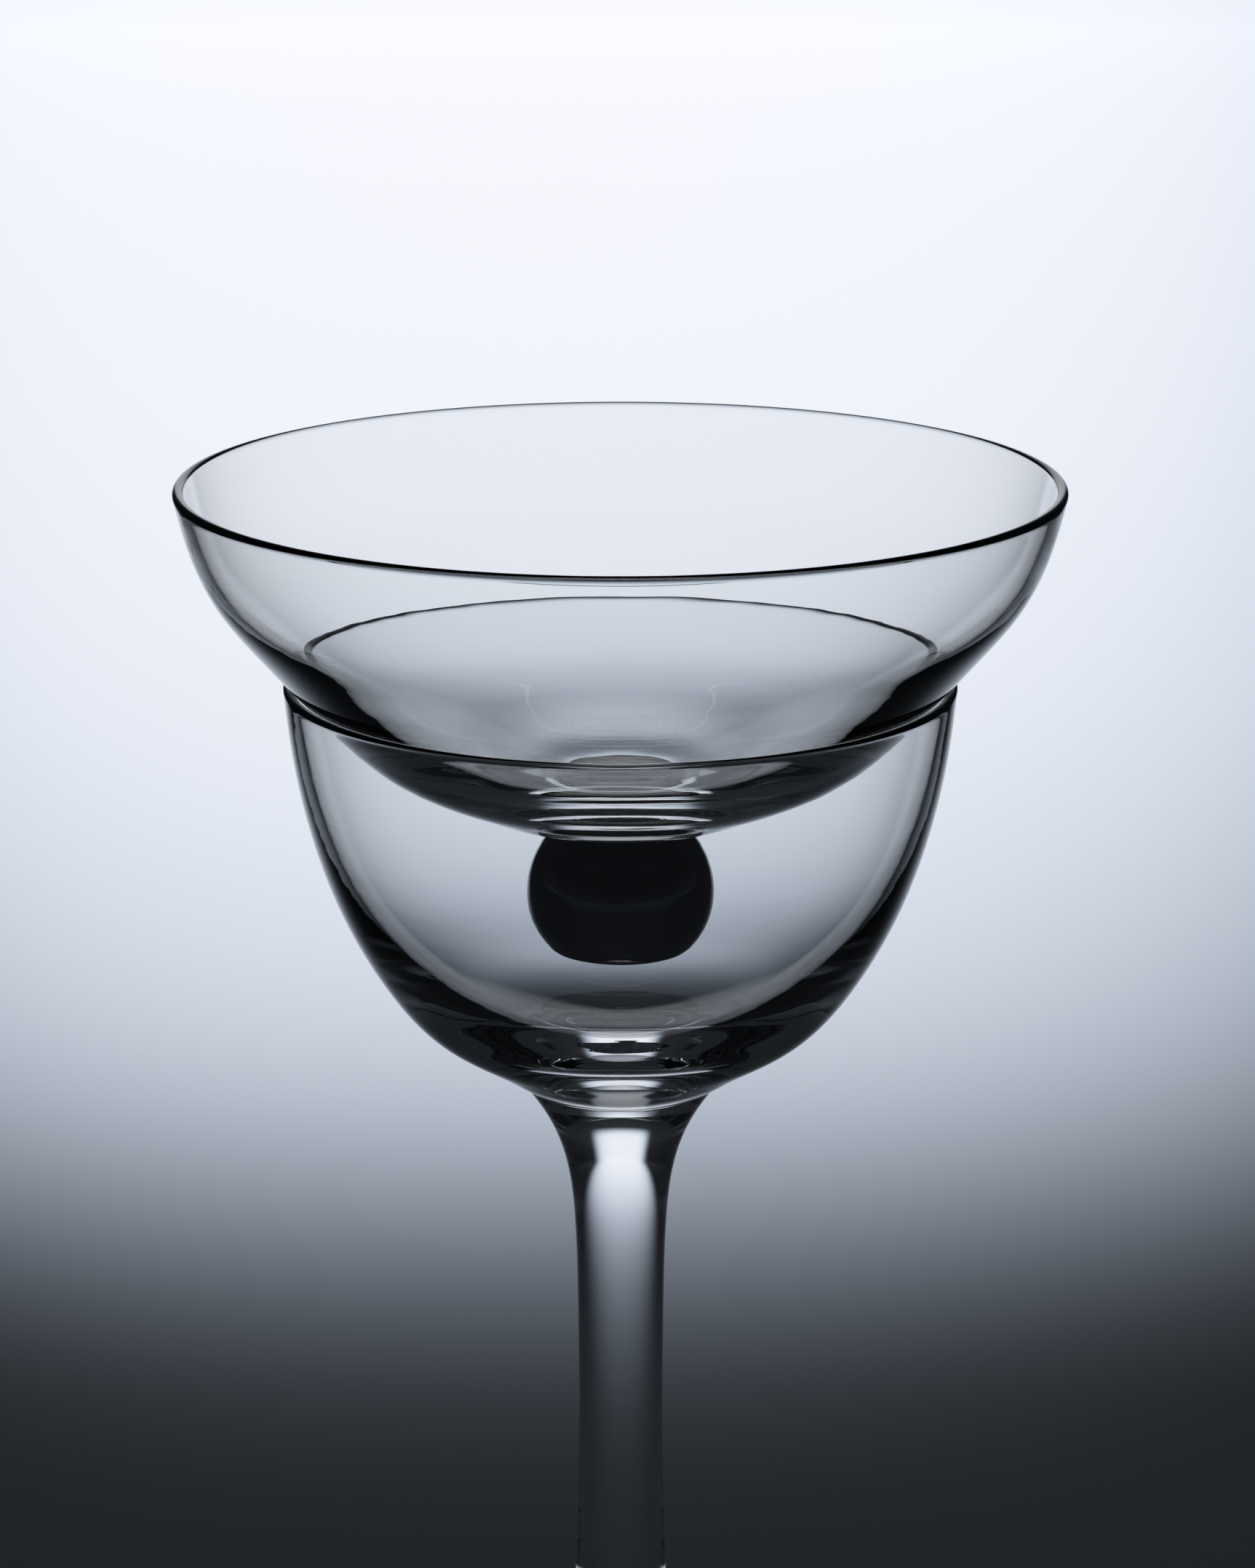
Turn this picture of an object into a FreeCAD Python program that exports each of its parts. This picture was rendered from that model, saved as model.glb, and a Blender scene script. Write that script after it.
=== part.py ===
import FreeCAD, Part
import math
import os

# A stemmed goblet with a wide, shallow cocktail bowl nested in its rim. The cocktail bowl stands
# on its own black ball foot when it is lifted out. Everything is turned glass about the Z axis.
# Lengths are in millimetres. The origin is the centre of the foot's underside, on the table.

# Stations up the outside of each bowl: radius, height, and wall thickness square to the surface.
GOBLET_STATIONS = [
    (18.7, 102.0, 5.2),
    (24.9, 106.0, 4.7),
    (30.9, 113.0, 3.6),
    (36.3, 123.0, 2.4),
    (40.0, 134.0, 1.8),
    (42.0, 144.2, 1.5),
    (42.8, 151.4, 1.3),
]
INSERT_STATIONS = [
    (12.3, 133.3, 5.6),
    (17.6, 135.0, 5.4),
    (22.3, 137.0, 4.8),
    (28.8, 140.1, 3.9),
    (33.0, 143.0, 3.3),
    (36.6, 146.5, 2.8),
    (41.6, 151.95, 2.3),
    (46.9, 158.0, 1.85),
    (51.0, 163.2, 1.55),
    (54.2, 170.0, 1.45),
    (56.0, 176.75, 1.4),
]

# Goblet: the seam under the bowl, the stem and the foot.
SEAM_RADIUS = 12.6
SEAM_HEIGHT = 98.0
GOBLET_FLOOR = 102.4
FOOT_SEAM_RADIUS = 9.2
FOOT_SEAM_HEIGHT = 6.0
STEM_STATIONS = [
    (7.5, 11.5),
    (6.5, 20.0),
    (5.95, 31.0),
    (5.58, 50.0),
    (5.67, 66.0),
    (6.0, 78.0),
    (6.8, 85.5),
    (8.4, 91.0),
    (10.5, 95.0),
]
FOOT_RADIUS = 39.0
FOOT_EDGE = 1.8
FOOT_TOP_STATIONS = [(13.0, 4.3), (20.0, 3.2), (29.0, 2.5)]
FOOT_RING_INNER = 33.0
FOOT_HOLLOW = 0.9

# Insert: the flat patch under the bowl that the ball is fused to, and the ball itself.
INSERT_UNDERSIDE = 132.2
INSERT_FLOOR = 137.7
BALL_RADIUS = 12.2
BALL_CENTRE = 122.95
BALL_BASE = 115.0
BALL_EDGE_ROUND = 2.0

AXIS_POINT = FreeCAD.Vector(0, 0, 0)
AXIS = FreeCAD.Vector(0, 0, 1)
OUTWARD = FreeCAD.Vector(1, 0, 0)


def at(radius, height):
    """A point of a half section, which lies in the XZ plane."""
    return FreeCAD.Vector(radius, 0, height)


def spline(points, **ends):
    """A smooth curve through the points."""
    curve = Part.BSplineCurve()
    curve.interpolate(Points=points, **ends)
    return curve


def turned(edges):
    """The solid that a closed half section sweeps about the Z axis."""
    face = Part.Face(Part.Wire(Part.__sortEdges__(edges)))
    return Part.Solid(face.revolve(AXIS_POINT, AXIS, 360))


def line(start, end):
    return Part.makeLine(start, end)


def inside_points(outer, stations):
    """The wall's inner points, each one wall thickness in from a station on the outer curve."""
    points = []
    for radius, height, wall in stations:
        station = at(radius, height)
        along = outer.tangent(outer.parameter(station))[0]
        inward = FreeCAD.Vector(-along.z, 0, along.x)
        points.append(station + inward * wall)
    return points


def rim_arc(outer_end, inner_end):
    """A fire-polished rim: half a circle from the outer wall over to the inner wall."""
    middle = (outer_end + inner_end) * 0.5
    across = outer_end - inner_end
    top = middle + FreeCAD.Vector(-across.z, 0, across.x) * 0.5
    return Part.Arc(outer_end, top, inner_end).toShape()


def bowl(start, stations, floor, **ends):
    """A bowl whose flat underside ends at start, with stations up its wall and a level floor."""
    outer = spline([start] + [at(radius, height) for radius, height, wall in stations], **ends)
    wall_points = inside_points(outer, stations)
    centre = at(0, floor)
    inner = spline([centre] + wall_points, InitialTangent=OUTWARD)
    return turned([
        line(at(0, start.z), start),
        outer.toShape(),
        rim_arc(outer.EndPoint, inner.EndPoint),
        inner.toShape(),
        line(centre, at(0, start.z)),
    ])


def goblet_bowl():
    """Deep U-shaped bowl, thin at its rim and thick at its base, fused to the stem's flared top."""
    return bowl(at(SEAM_RADIUS, SEAM_HEIGHT), GOBLET_STATIONS, GOBLET_FLOOR)


def stem():
    """Solid drawn stem, flared to the bowl above and to the foot below."""
    bottom = at(FOOT_SEAM_RADIUS, FOOT_SEAM_HEIGHT)
    top = at(SEAM_RADIUS, SEAM_HEIGHT)
    side = spline([bottom] + [at(*station) for station in STEM_STATIONS] + [top])
    return turned([
        line(at(0, bottom.z), bottom),
        side.toShape(),
        line(top, at(0, top.z)),
        line(at(0, top.z), at(0, bottom.z)),
    ])


def foot():
    """Round foot with a rounded edge. It rests on a flat ring round a shallow hollow."""
    seam = at(FOOT_SEAM_RADIUS, FOOT_SEAM_HEIGHT)
    edge_middle = FOOT_RADIUS - FOOT_EDGE / 2
    edge_top = at(edge_middle, FOOT_EDGE)
    edge_bottom = at(edge_middle, 0)
    top = spline(
        [seam] + [at(*station) for station in FOOT_TOP_STATIONS] + [edge_top],
        FinalTangent=OUTWARD,
    )
    hollow_edge = at(FOOT_RING_INNER, 0)
    hollow_side = at(FOOT_RING_INNER / 2, FOOT_HOLLOW * 3 / 4)
    hollow_top = at(0, FOOT_HOLLOW)
    hollow = spline([hollow_top, hollow_side, hollow_edge], InitialTangent=OUTWARD)
    return turned([
        line(at(0, seam.z), seam),
        top.toShape(),
        Part.Arc(edge_top, at(FOOT_RADIUS, FOOT_EDGE / 2), edge_bottom).toShape(),
        line(edge_bottom, hollow_edge),
        hollow.toShape(),
        line(hollow_top, at(0, seam.z)),
    ])


def insert_bowl():
    """Wide shallow bowl whose wall rests on the goblet's rim, fused to the ball under it."""
    start = at(ball_section_radius(INSERT_UNDERSIDE), INSERT_UNDERSIDE)
    return bowl(start, INSERT_STATIONS, INSERT_FLOOR, InitialTangent=OUTWARD)


def ball_section_radius(height):
    """The ball's radius in a level plane at this height."""
    return math.sqrt(BALL_RADIUS**2 - (height - BALL_CENTRE) ** 2)


def ball_foot():
    """Solid ball with a ground flat to stand on and a flat on top where the bowl is fused."""
    top_radius = ball_section_radius(INSERT_UNDERSIDE)
    base_radius = ball_section_radius(BALL_BASE)
    top = at(top_radius, INSERT_UNDERSIDE)
    base = at(base_radius, BALL_BASE)
    ball = turned([
        line(at(0, top.z), top),
        Part.Arc(top, at(BALL_RADIUS, BALL_CENTRE), base).toShape(),
        line(base, at(0, base.z)),
        line(at(0, base.z), at(0, top.z)),
    ])
    base_edges = [edge for edge in ball.Edges if is_circle_at(edge, BALL_BASE)]
    return ball.makeFillet(BALL_EDGE_ROUND, base_edges)


def is_circle_at(edge, height):
    """Whether an edge is a level circle at this height."""
    box = edge.BoundBox
    return abs(box.ZMin - height) < 1e-6 and abs(box.ZMax - height) < 1e-6


NODES = {
    "goblet_bowl": goblet_bowl,
    "stem": stem,
    "foot": foot,
    "insert_bowl": insert_bowl,
    "ball_foot": ball_foot,
}

os.makedirs("parts", exist_ok=True)
for name, make in NODES.items():
    shape = make()
    shape.exportStep(f"parts/{name}.step")
    box = shape.BoundBox
    print(f"{name}: volume {shape.Volume:.0f} mm3, valid {shape.isValid()}, "
          f"radius {box.XMax:.2f}, from {box.ZMin:.2f} to {box.ZMax:.2f}")
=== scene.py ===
import math

import bpy
import numpy as np
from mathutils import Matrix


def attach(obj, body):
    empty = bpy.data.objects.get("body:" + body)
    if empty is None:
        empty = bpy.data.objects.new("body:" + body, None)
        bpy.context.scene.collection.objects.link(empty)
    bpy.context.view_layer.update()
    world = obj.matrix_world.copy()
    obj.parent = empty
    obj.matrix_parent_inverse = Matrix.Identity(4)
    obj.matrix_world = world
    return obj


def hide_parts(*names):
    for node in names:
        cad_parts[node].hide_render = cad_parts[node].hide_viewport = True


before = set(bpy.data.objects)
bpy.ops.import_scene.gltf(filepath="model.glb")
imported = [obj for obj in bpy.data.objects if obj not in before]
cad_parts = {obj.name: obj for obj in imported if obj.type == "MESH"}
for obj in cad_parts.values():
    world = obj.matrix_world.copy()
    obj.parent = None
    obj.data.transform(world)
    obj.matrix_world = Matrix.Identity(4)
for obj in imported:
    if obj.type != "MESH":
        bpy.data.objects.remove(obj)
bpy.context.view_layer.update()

# Lengths in the tables are millimetres, as in the CAD source. Blender works in metres.
MM = 0.001
SEGMENTS = 256
SAMPLE_LENGTH = 0.45

# Stations up the outside of each bowl: radius, height, and wall thickness square to the surface.
GOBLET_STATIONS = [
    (18.7, 102.0, 5.2),
    (24.9, 106.0, 4.7),
    (30.9, 113.0, 3.6),
    (36.3, 123.0, 2.4),
    (40.0, 134.0, 1.8),
    (42.0, 144.2, 1.5),
    (42.8, 151.4, 1.3),
]
INSERT_STATIONS = [
    (12.3, 133.3, 5.6),
    (17.6, 135.0, 5.4),
    (22.3, 137.0, 4.8),
    (28.8, 140.1, 3.9),
    (33.0, 143.0, 3.3),
    (36.6, 146.5, 2.8),
    (41.6, 151.95, 2.3),
    (46.9, 158.0, 1.85),
    (51.0, 163.2, 1.55),
    (54.2, 170.0, 1.45),
    (56.0, 176.75, 1.4),
]
SEAM = (12.6, 98.0)
GOBLET_FLOOR = 102.4
FOOT_SEAM = (9.2, 6.0)
STEM_STATIONS = [
    (7.5, 11.5),
    (6.5, 20.0),
    (5.95, 31.0),
    (5.58, 50.0),
    (5.67, 66.0),
    (6.0, 78.0),
    (6.8, 85.5),
    (8.4, 91.0),
    (10.5, 95.0),
]
FOOT_RADIUS = 39.0
FOOT_EDGE = 1.8
FOOT_TOP_STATIONS = [(13.0, 4.3), (20.0, 3.2), (29.0, 2.5)]
FOOT_RING_INNER = 33.0
FOOT_HOLLOW = 0.9
INSERT_UNDERSIDE = 132.2
INSERT_FLOOR = 137.7
BALL_RADIUS = 12.2
BALL_CENTRE = 122.95
BALL_BASE = 115.0
BALL_EDGE_ROUND = 2.0

OUTWARD = (1.0, 0.0)


# ---------------------------------------------------------------- half sections

class Curve:
    """A smooth curve through points: a cubic spline over the length of its chords."""

    def __init__(self, points, first=None, last=None):
        self.points = np.array(points, float)
        steps = np.linalg.norm(np.diff(self.points, axis=0), axis=1)
        self.knots = np.concatenate([[0], np.cumsum(steps)])
        count = len(self.points)
        matrix = np.zeros((count, count))
        target = np.zeros((count, 2))
        for i in range(1, count - 1):
            before, after = steps[i - 1], steps[i]
            matrix[i, i - 1], matrix[i, i], matrix[i, i + 1] = after, 2 * (before + after), before
            rise_in = (self.points[i] - self.points[i - 1]) / before
            rise_out = (self.points[i + 1] - self.points[i]) / after
            target[i] = 3 * (after * rise_in + before * rise_out)
        for row, other, step, slope in ((0, 1, steps[0], first), (count - 1, count - 2, steps[-1], last)):
            matrix[row, row] = 1
            if slope is None:
                matrix[row, other] = 0.5
                low, high = (row, other) if row < other else (other, row)
                target[row] = 1.5 * (self.points[high] - self.points[low]) / step
            else:
                target[row] = slope
        self.slopes = np.linalg.solve(matrix, target)

    def at(self, where):
        """Points and unit tangents at these lengths along the chords."""
        where = np.atleast_1d(where)
        i = np.clip(np.searchsorted(self.knots, where, side="right") - 1, 0, len(self.knots) - 2)
        step = (self.knots[i + 1] - self.knots[i])[:, None]
        t = (where - self.knots[i])[:, None] / step
        p, q = self.points[i], self.points[i + 1]
        m, n = self.slopes[i] * step, self.slopes[i + 1] * step
        place = (2 * t**3 - 3 * t**2 + 1) * p + (t**3 - 2 * t**2 + t) * m
        place += (3 * t**2 - 2 * t**3) * q + (t**3 - t**2) * n
        slope = (6 * t**2 - 6 * t) * (p - q) + (3 * t**2 - 4 * t + 1) * m + (3 * t**2 - 2 * t) * n
        return place, slope / np.linalg.norm(slope, axis=1)[:, None]

    def sampled(self):
        count = max(3, int(self.knots[-1] / SAMPLE_LENGTH))
        return self.at(np.linspace(0, self.knots[-1], count + 1))[0]


def inside_points(outer, stations):
    """The wall's inner points, each one wall thickness in from a station on the outer curve."""
    first = len(outer.points) - len(stations)
    _, tangents = outer.at(outer.knots[first:])
    inward = np.stack([-tangents[:, 1], tangents[:, 0]], axis=1)
    walls = np.array([wall for _, _, wall in stations])
    return outer.points[first:] + inward * walls[:, None]


def half_turn(start, end, count=16):
    """Half a circle from start to end, to the left of that direction."""
    start, end = np.array(start, float), np.array(end, float)
    middle, arm = (start + end) / 2, (start - end) / 2
    up = np.array([-arm[1], arm[0]])
    angles = np.linspace(0, math.pi, count + 1)[:, None]
    return middle + arm * np.cos(angles) + up * np.sin(angles)


def joined(*runs):
    """One list of points from runs that meet end to end."""
    points = [np.array(runs[0], float)]
    points += [np.array(run, float)[1:] for run in runs[1:]]
    return np.concatenate(points)


def bowl_section(start, stations, floor, **ends):
    """From the outer start up the wall, over the rim and down to the middle of the inside."""
    outer = Curve([start] + [(radius, height) for radius, height, _ in stations], **ends)
    inner = Curve([(0.0, floor)] + list(inside_points(outer, stations)), first=OUTWARD)
    up, down = outer.sampled(), inner.sampled()[::-1]
    return joined(up, half_turn(up[-1], down[0]), down)


def ball_section_radius(height):
    return math.sqrt(BALL_RADIUS**2 - (height - BALL_CENTRE) ** 2)


def goblet_section():
    return bowl_section(SEAM, GOBLET_STATIONS, GOBLET_FLOOR)


def stem_section():
    return Curve([FOOT_SEAM] + STEM_STATIONS + [SEAM]).sampled()


def foot_section():
    """From the middle of the hollow out under the foot, round its edge and up to the stem."""
    ring = (FOOT_RING_INNER, 0.0)
    hollow = Curve([(0.0, FOOT_HOLLOW), (FOOT_RING_INNER / 2, FOOT_HOLLOW * 3 / 4), ring], first=OUTWARD)
    edge_middle = FOOT_RADIUS - FOOT_EDGE / 2
    turns = np.linspace(-math.pi / 2, math.pi / 2, 13)
    edge_radius = FOOT_EDGE / 2
    edge = np.stack([edge_middle + edge_radius * np.cos(turns), edge_radius * (1 + np.sin(turns))], axis=1)
    top = Curve([FOOT_SEAM] + FOOT_TOP_STATIONS + [(edge_middle, FOOT_EDGE)], last=OUTWARD)
    return joined(hollow.sampled(), [ring, (edge_middle, 0.0)], edge, top.sampled()[::-1])


def insert_section():
    start = (ball_section_radius(INSERT_UNDERSIDE), INSERT_UNDERSIDE)
    return bowl_section(start, INSERT_STATIONS, INSERT_FLOOR, first=OUTWARD)


def ball_outline():
    """From the middle of the flat base round its soft edge and up the ball to its flat top."""
    inner_radius = BALL_RADIUS - BALL_EDGE_ROUND
    round_height = BALL_BASE + BALL_EDGE_ROUND
    round_radius = math.sqrt(inner_radius**2 - (round_height - BALL_CENTRE) ** 2)
    meets = math.atan2(round_height - BALL_CENTRE, round_radius)
    turns = np.linspace(-math.pi / 2, meets, 10)
    edge = np.stack([
        round_radius + BALL_EDGE_ROUND * np.cos(turns),
        round_height + BALL_EDGE_ROUND * np.sin(turns),
    ], axis=1)
    top_radius = ball_section_radius(INSERT_UNDERSIDE)
    turns = np.linspace(meets, math.atan2(INSERT_UNDERSIDE - BALL_CENTRE, top_radius), 64)
    side = np.stack([BALL_RADIUS * np.cos(turns), BALL_CENTRE + BALL_RADIUS * np.sin(turns)], axis=1)
    base = [(radius, BALL_BASE) for radius in np.linspace(0, round_radius, 12)]
    top = [(radius, INSERT_UNDERSIDE) for radius in np.linspace(top_radius, 0, 8)]
    return joined(base, edge, side, top)


# ---------------------------------------------------------------- turned pieces

def turned(name, section, body, node):
    """The surface that a half section sweeps about the Z axis, riding on a body in place of its CAD node."""
    turns = np.arange(SEGMENTS) * 2 * math.pi / SEGMENTS
    verts, rows = [], []
    count = 0
    for radius, height in section:
        if radius < 1e-6:
            rows.append((count, 1))
            verts.append([[0.0, 0.0, height]])
            count += 1
        else:
            rows.append((count, SEGMENTS))
            level = np.full(SEGMENTS, height)
            verts.append(np.stack([radius * np.cos(turns), radius * np.sin(turns), level], axis=1))
            count += SEGMENTS
    faces = []
    for (low, low_size), (high, high_size) in zip(rows[:-1], rows[1:]):
        for i in range(SEGMENTS):
            j = (i + 1) % SEGMENTS
            if low_size == 1:
                faces.append((low, high + j, high + i))
            elif high_size == 1:
                faces.append((low + i, low + j, high))
            else:
                faces.append((low + i, low + j, high + j, high + i))
    mesh = bpy.data.meshes.new(name)
    mesh.from_pydata((np.concatenate(verts) * MM).tolist(), [], faces)
    mesh.shade_smooth()
    piece = bpy.data.objects.new(name, mesh)
    bpy.context.scene.collection.objects.link(piece)
    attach(piece, body)
    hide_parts(node)
    return piece


goblet = turned("goblet_bowl_glass", goblet_section(), "goblet", "goblet_bowl")
stem = turned("stem_glass", stem_section(), "goblet", "stem")
foot = turned("foot_glass", foot_section(), "goblet", "foot")
insert = turned("insert_bowl_glass", insert_section(), "cocktail_bowl", "insert_bowl")
ball = turned("ball_foot_glass", ball_outline(), "cocktail_bowl", "ball_foot")


# ---------------------------------------------------------------- materials

class Nodes:
    """Short calls for building one node tree."""

    def __init__(self, tree):
        self.tree = tree

    def add(self, kind, **settings):
        node = self.tree.nodes.new(kind)
        for key, value in settings.items():
            setattr(node, key, value)
        return node

    def put(self, value, socket):
        if isinstance(value, bpy.types.NodeSocket):
            self.tree.links.new(value, socket)
        else:
            socket.default_value = value

    def math(self, operation, *values):
        node = self.add("ShaderNodeMath", operation=operation)
        for value, socket in zip(values, node.inputs):
            self.put(value, socket)
        return node.outputs[0]


# How far the edges of the worn ring and of the ball's ground face spread, in metres.
RING_BLUR = 0.0005
GROUND_BLUR = 0.00006


def principled(name, **sockets):
    """A material with these values on its shader, the shader, and short calls for its nodes."""
    material = bpy.data.materials.new(name)
    material.use_nodes = True
    shader = material.node_tree.nodes["Principled BSDF"]
    for socket, value in sockets.items():
        shader.inputs[socket.replace("_", " ")].default_value = value
    return material, shader, Nodes(material.node_tree)


def place_nodes(n):
    """The point in the model's frame at rest, its height, and its distance from the axis."""
    point = n.add("ShaderNodeTexCoord").outputs["Object"]
    parts = n.add("ShaderNodeSeparateXYZ")
    n.put(point, parts.inputs[0])
    x, y, height = parts.outputs
    radius = n.math("SQRT", n.math("ADD", n.math("MULTIPLY", x, x), n.math("MULTIPLY", y, y)))
    return point, height, radius


def noise(n, point, scale, detail=2.0):
    """Noise between 0 and 1."""
    texture = n.add("ShaderNodeTexNoise")
    n.put(point, texture.inputs["Vector"])
    n.put(scale, texture.inputs["Scale"])
    n.put(detail, texture.inputs["Detail"])
    return texture.outputs["Fac"]


def ramp(n, value, low, high, at_low, at_high):
    """A smooth step from one value to another as the input goes from low to high."""
    node = n.add("ShaderNodeMapRange", interpolation_type="SMOOTHSTEP")
    for socket, amount in zip(node.inputs, (value, low, high, at_low, at_high)):
        n.put(amount, socket)
    return node.outputs[0]


def turned_noise(n, point, height, radius, scale):
    """Noise that runs in rings about the axis, as the lines of spun glass do."""
    parts = n.add("ShaderNodeSeparateXYZ")
    n.put(point, parts.inputs[0])
    rings = n.add("ShaderNodeCombineXYZ")
    for value, socket in zip((radius, height, n.math("MULTIPLY", parts.outputs[0], 0.12)), rings.inputs):
        n.put(value, socket)
    return noise(n, rings.outputs[0], scale)


def hand_made_surface(n, shader, point, height, radius, swirl, swirl_edge):
    """Slow waves of fire-polished glass, faint turning lines, and deeper rings near the axis.

    The swirl is the rings' depth in metres, and it dies out at the swirl edge's radius.
    """
    waves = n.math("MULTIPLY", noise(n, point, 45.0), 0.00004)
    lines = n.math("MULTIPLY", turned_noise(n, point, height, radius, 260.0), 0.000009)
    reach = ramp(n, radius, swirl_edge * 0.4, swirl_edge, swirl, 0.0)
    swirls = n.math("ADD", turned_noise(n, point, height, radius, 150.0),
                    n.math("MULTIPLY", noise(n, point, 210.0, 1.0), 0.25))
    total = n.math("ADD", n.math("ADD", waves, lines), n.math("MULTIPLY", swirls, reach))
    bump = n.add("ShaderNodeBump")
    n.put(1.0, bump.inputs["Strength"])
    n.put(1.0, bump.inputs["Distance"])
    n.put(total, bump.inputs["Height"])
    n.put(bump.outputs[0], shader.inputs["Normal"])


def clear_glass(name, swirl, swirl_edge, worn_below=None):
    """Clear, faintly blue glass with patches of slight haze. A foot is scuffed on its resting ring."""
    material, shader, n = principled(
        name, Base_Color=(0.988, 0.997, 1.0, 1), IOR=1.5, Transmission_Weight=1.0, Specular_IOR_Level=0.5)
    point, height, radius = place_nodes(n)
    hand_made_surface(n, shader, point, height, radius, swirl, swirl_edge)
    haze = ramp(n, noise(n, point, 45.0, 4.0), 0.56, 0.8, 0.0, 0.008)
    if worn_below is not None:
        scuffs = ramp(n, noise(n, point, 900.0, 6.0), 0.35, 0.7, 0.12, 0.45)
        resting = ramp(n, height, worn_below * 0.5, worn_below, 1.0, 0.0)
        ring = FOOT_RING_INNER * MM
        resting = n.math("MULTIPLY", resting, ramp(n, radius, ring - RING_BLUR, ring + RING_BLUR, 0.0, 1.0))
        haze = n.math("MAXIMUM", haze, n.math("MULTIPLY", scuffs, resting))
    n.put(haze, shader.inputs["Roughness"])
    return material


def black_glass(name, ground_below):
    """Opaque black glass, glossy, with a ground face under it."""
    material, shader, n = principled(name, IOR=1.5)
    point, height, radius = place_nodes(n)
    depth = n.add("ShaderNodeMix", data_type="RGBA")
    n.put(noise(n, point, 120.0, 4.0), depth.inputs["Factor"])
    n.put((0.0002, 0.0002, 0.0003, 1), depth.inputs[6])
    n.put((0.0012, 0.0012, 0.0015, 1), depth.inputs[7])
    n.put(depth.outputs[2], shader.inputs["Base Color"])
    polish = ramp(n, noise(n, point, 260.0, 5.0), 0.4, 0.75, 0.01, 0.04)
    ground = ramp(n, noise(n, point, 2200.0, 3.0), 0.3, 0.7, 0.35, 0.55)
    resting = ramp(n, height, ground_below - GROUND_BLUR, ground_below, 1.0, 0.0)
    n.put(n.math("MAXIMUM", polish, n.math("MULTIPLY", ground, resting)), shader.inputs["Roughness"])
    waves = n.math("MULTIPLY", noise(n, point, 130.0), 0.00002)
    pits = n.math("MULTIPLY", n.math("MULTIPLY", noise(n, point, 2600.0), resting), 0.00001)
    bump = n.add("ShaderNodeBump")
    n.put(1.0, bump.inputs["Distance"])
    n.put(n.math("ADD", waves, pits), bump.inputs["Height"])
    n.put(bump.outputs[0], shader.inputs["Normal"])
    return material


goblet.data.materials.append(clear_glass("goblet_clear", 0.00003, 0.024))
stem.data.materials.append(clear_glass("stem_clear", 0.0, 0.02))
foot.data.materials.append(clear_glass("foot_clear", 0.00003, 0.03, worn_below=0.0003))
insert.data.materials.append(clear_glass("insert_clear", 0.00003, 0.04))
ball.data.materials.append(black_glass("ball_black", BALL_BASE * MM + 0.0001))


# ---------------------------------------------------------------- studio

scene = bpy.context.scene
scene.view_settings.view_transform = "Standard"
scene.cycles.max_bounces = 32
scene.cycles.transmission_bounces = 32
scene.cycles.glossy_bounces = 16
scene.cycles.transparent_max_bounces = 32
scene.cycles.sample_clamp_indirect = 10

# A pale acrylic sweep, floor and back wall in one, with a painted pool of light: its emission, not a lamp,
# makes it glow behind the glass.
WALL_DISTANCE, SWEEP_RADIUS, WALL_HEIGHT, SWEEP_HALF_WIDTH, SWEEP_FRONT = 3.2, 0.6, 3.4, 8.0, -8.0
FLOOR_DROP = 0.0002
# Along the floor the painted light starts behind the foot, and fades above the lower part of the wall.
GLOW_HALF, GLOW_POWER = 0.2828, 2.17
ONSET, ONSET_POWER = 0.2094, 3.52
FADE_FROM, FADE_TO = 0.85, 1.6
GLOW_GAIN, GLOW_SHOULDER = 1.11, -0.24
# Across the view: the camera's distance in front of the axis, the view's half width at one metre,
# how far the painted light's middle is to the left of the view's, and its painted falloff to the sides.
VIEW_FROM, HALF_VIEW, GLOW_OFFSET, SIDE_POWER = 0.511, 0.151, 0.17, 2.6
SIDE_SHADE, NEAR_SHADE, NEAR_DISTANCE, NEAR_LEAST, NEAR_POWER = 0.15, 0.4, 0.185, 0.12, 2.1
# How far out and how sharply painted shade ends the light at the view's sides, where a flag would stand.
PAINTED_FLAG_SPREAD, PAINTED_FLAG_POWER = 0.245, 8.0
# Painted dim light on the floor inside the painted flag edges and beyond them, and the room's glow far from
# the glass, painted on the sweep and also given to the world's light.
FLOOR_BETWEEN, FLOOR_BESIDE = 0.0055, 0.0035
ROOM_GLOW = 0.1
# Colours of the painted light: bluish where it is dim, nearly white in the pool.
DARK_TINT, BRIGHT_TINT = (1.0, 1.17, 1.42, 1), (1.0, 1.01, 1.065, 1)

profile = [(SWEEP_FRONT, 0.0)]
for bend in np.linspace(0, math.pi / 2, 25):
    back = WALL_DISTANCE - SWEEP_RADIUS * (1 - math.sin(bend))
    profile.append((back, SWEEP_RADIUS * (1 - math.cos(bend))))
profile.append((WALL_DISTANCE, WALL_HEIGHT))
sweep_verts = [(x, y, z - FLOOR_DROP) for y, z in profile for x in (-SWEEP_HALF_WIDTH, SWEEP_HALF_WIDTH)]
sweep_faces = [(2 * i, 2 * i + 1, 2 * i + 3, 2 * i + 2) for i in range(len(profile) - 1)]
sweep_mesh = bpy.data.meshes.new("sweep")
sweep_mesh.from_pydata(sweep_verts, [], sweep_faces)
sweep_mesh.shade_smooth()
sweep = bpy.data.objects.new("sweep", sweep_mesh)
scene.collection.objects.link(sweep)

# The sweep's own colour is dark grey; all the light it gives off is painted as emission.
sweep_material, sweep_shader, n = principled("sweep_painted_light", Base_Color=(0.2, 0.2, 0.2, 1), Roughness=0.8)
sweep_mesh.materials.append(sweep_material)
place = n.add("ShaderNodeSeparateXYZ")
n.put(n.add("ShaderNodeNewGeometry").outputs["Position"], place.inputs[0])
across, back, up = place.outputs
behind = n.math("MAXIMUM", back, 0.001)
power = n.math("POWER", behind, GLOW_POWER)
rise = n.math("DIVIDE", power, n.math("ADD", power, GLOW_HALF**GLOW_POWER))
onset = n.math("POWER", n.math("DIVIDE", behind, ONSET), ONSET_POWER)
onset = n.math("SUBTRACT", 1.0, n.math("EXPONENT", n.math("MULTIPLY", onset, -1.0)))
along = n.math("MULTIPLY", rise, onset)
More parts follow.
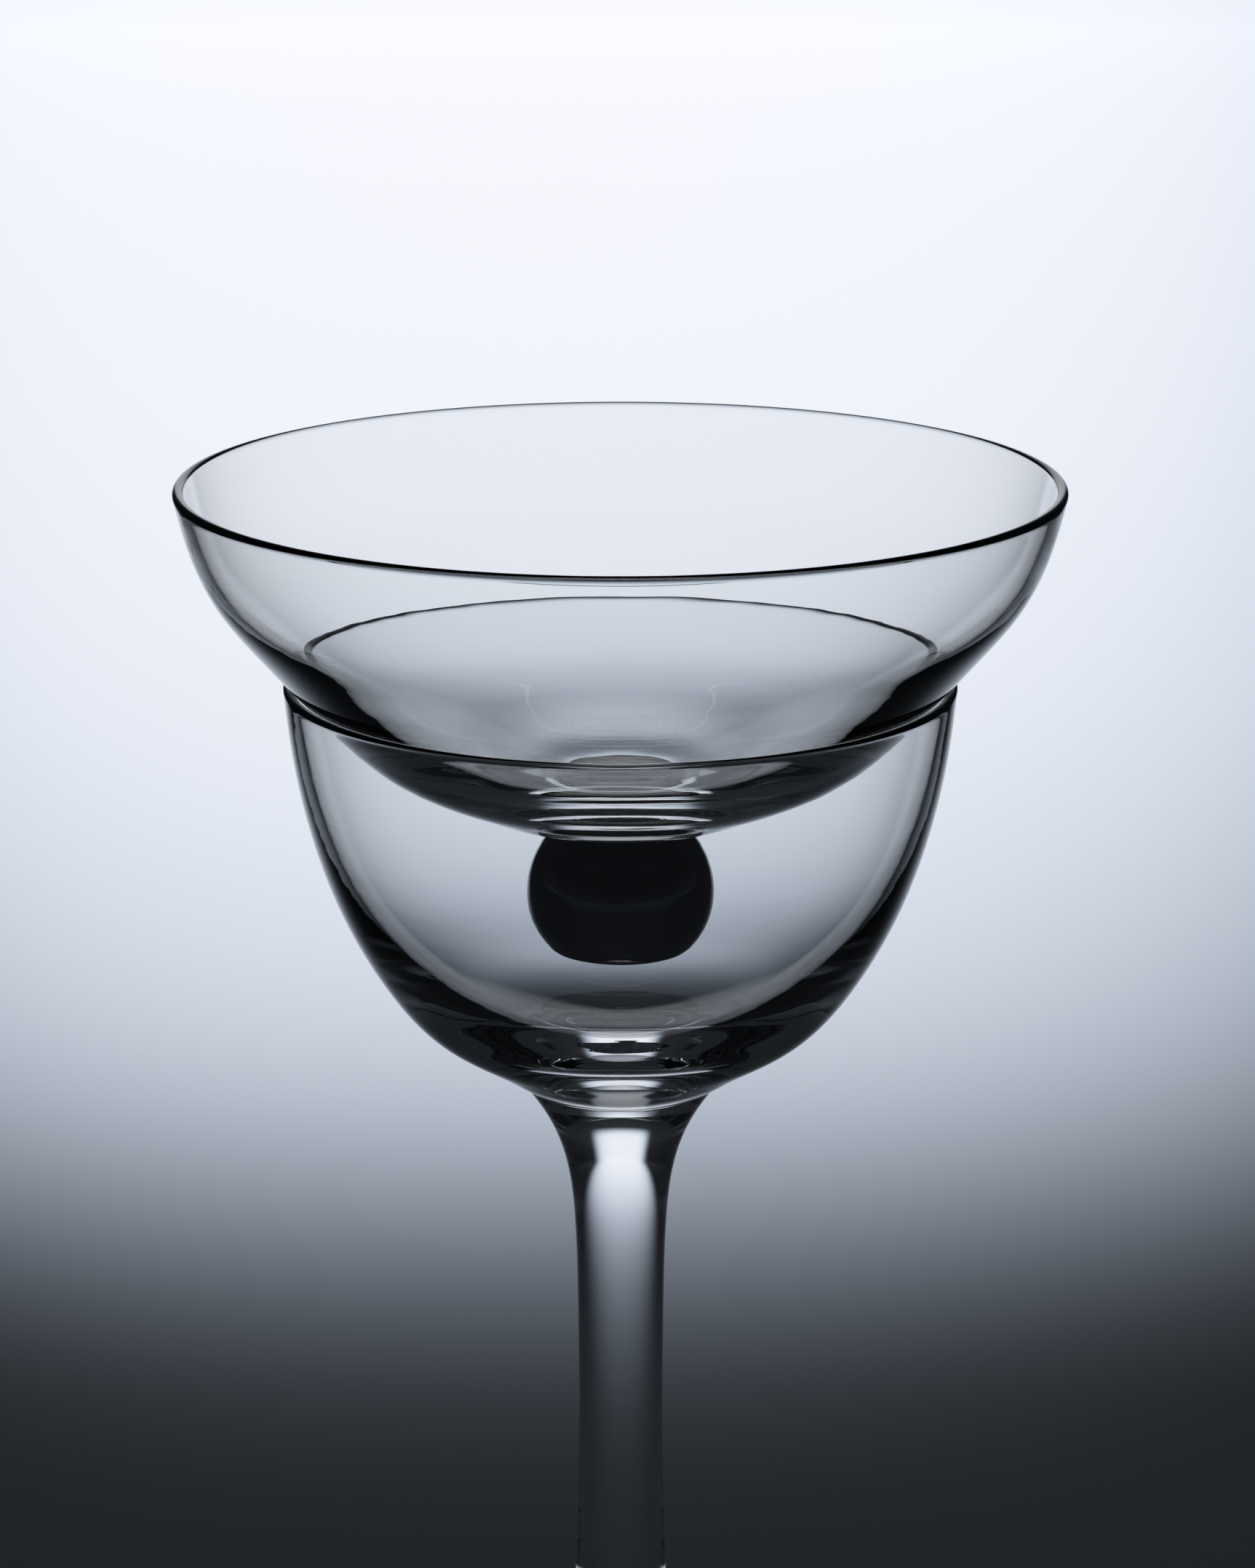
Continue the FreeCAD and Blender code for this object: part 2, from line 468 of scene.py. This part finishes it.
# The painted shade at the sides is softer far behind the glass than close to it.
view_distance = n.math("ADD", behind, VIEW_FROM)
offset = n.math("ADD", n.math("DIVIDE", n.math("DIVIDE", across, view_distance), HALF_VIEW), GLOW_OFFSET)
shade = n.math("POWER", n.math("ABSOLUTE", offset), SIDE_POWER)
near = n.math("POWER", n.math("DIVIDE", NEAR_DISTANCE, n.math("MAXIMUM", behind, NEAR_LEAST)), NEAR_POWER)
shade = n.math("MULTIPLY", shade, n.math("ADD", n.math("MULTIPLY", near, NEAR_SHADE), SIDE_SHADE))
# Painted shade just outside the view, where a flag would stand, ends the painted light, so the glass has
# black edges.
painted_flag_edge = n.math("DIVIDE", n.math("ABSOLUTE", n.math("DIVIDE", across, view_distance)), PAINTED_FLAG_SPREAD)
inside_painted_flag_edges = n.math("EXPONENT", n.math("MULTIPLY", n.math("POWER", painted_flag_edge, PAINTED_FLAG_POWER), -1.0))
spread = n.math("MULTIPLY", n.math("EXPONENT", n.math("MULTIPLY", shade, -1.0)), inside_painted_flag_edges)
fade = ramp(n, up, FADE_FROM, FADE_TO, 1.0, 0.0)
pool = n.math("MULTIPLY", n.math("MULTIPLY", along, spread), fade)
shoulder = n.math("MULTIPLY", n.math("POWER", pool, 4.0), GLOW_SHOULDER)
glow = n.math("ADD", n.math("MULTIPLY", pool, GLOW_GAIN), shoulder)
# Painted dim light on the near side and the far floor, for the other views. The floor beside the glass is
# left dark.
outward = n.math("SQRT", n.math("ADD", n.math("MULTIPLY", across, across), n.math("MULTIPLY", back, back)))
facing = n.math("DIVIDE", n.math("MULTIPLY", back, -1.0), n.math("ADD", outward, 0.02))
near_side = n.math("MULTIPLY", ramp(n, facing, 0.1, 0.7, 0.0, 1.0), ramp(n, outward, 0.45, 0.85, 0.25, 1.0))
far_off = n.math("MULTIPLY", ramp(n, outward, 1.2, 2.4, 0.0, 1.0), ramp(n, facing, -0.5, 0.0, 0.0, 1.0))
room = n.math("MULTIPLY", n.math("MAXIMUM", near_side, far_off), ROOM_GLOW)
floor_glow = n.math("ADD", n.math("MULTIPLY", inside_painted_flag_edges, FLOOR_BETWEEN), FLOOR_BESIDE)
strength = n.math("ADD", glow, n.math("ADD", room, floor_glow))
# The painted light is bluish where dim and nearly white in the pool.
tint = n.add("ShaderNodeMix", data_type="RGBA")
n.put(pool, tint.inputs["Factor"])
n.put(DARK_TINT, tint.inputs[6])
n.put(BRIGHT_TINT, tint.inputs[7])
n.put(tint.outputs[2], sweep_shader.inputs["Emission Color"])
n.put(strength, sweep_shader.inputs["Emission Strength"])

# Above the floor the room is dim at the horizon and dark overhead.
world = bpy.data.worlds.new("studio")
scene.world = world
world.use_nodes = True
n = Nodes(world.node_tree)
direction = n.add("ShaderNodeSeparateXYZ")
n.put(n.add("ShaderNodeTexCoord").outputs["Generated"], direction.inputs[0])
room_light = n.math("ADD", ramp(n, direction.outputs[2], 0.0, 0.35, ROOM_GLOW / 2, 0.0), 0.002)
background = world.node_tree.nodes["Background"]
background.inputs["Color"].default_value = (0.78, 0.89, 1.05, 1)
n.put(room_light, background.inputs["Strength"])

# The camera looks down at the goblet from close by, with its middle on a point of the goblet's axis.
ROW_HEIGHT = 0.138
CAMERA_DISTANCE = 0.5301
CAMERA_PITCH = math.radians(15.47)
camera = bpy.data.cameras.new("camera")
camera.lens = 95
camera.sensor_width = 36
camera.clip_end = 20
view_point = bpy.data.objects.new("camera", camera)
view_point.location = (
    0.0009,
    -CAMERA_DISTANCE * math.cos(CAMERA_PITCH),
    ROW_HEIGHT + CAMERA_DISTANCE * math.sin(CAMERA_PITCH),
)
view_point.rotation_euler = (math.pi / 2 - CAMERA_PITCH, 0, 0)
scene.collection.objects.link(view_point)
scene.camera = view_point
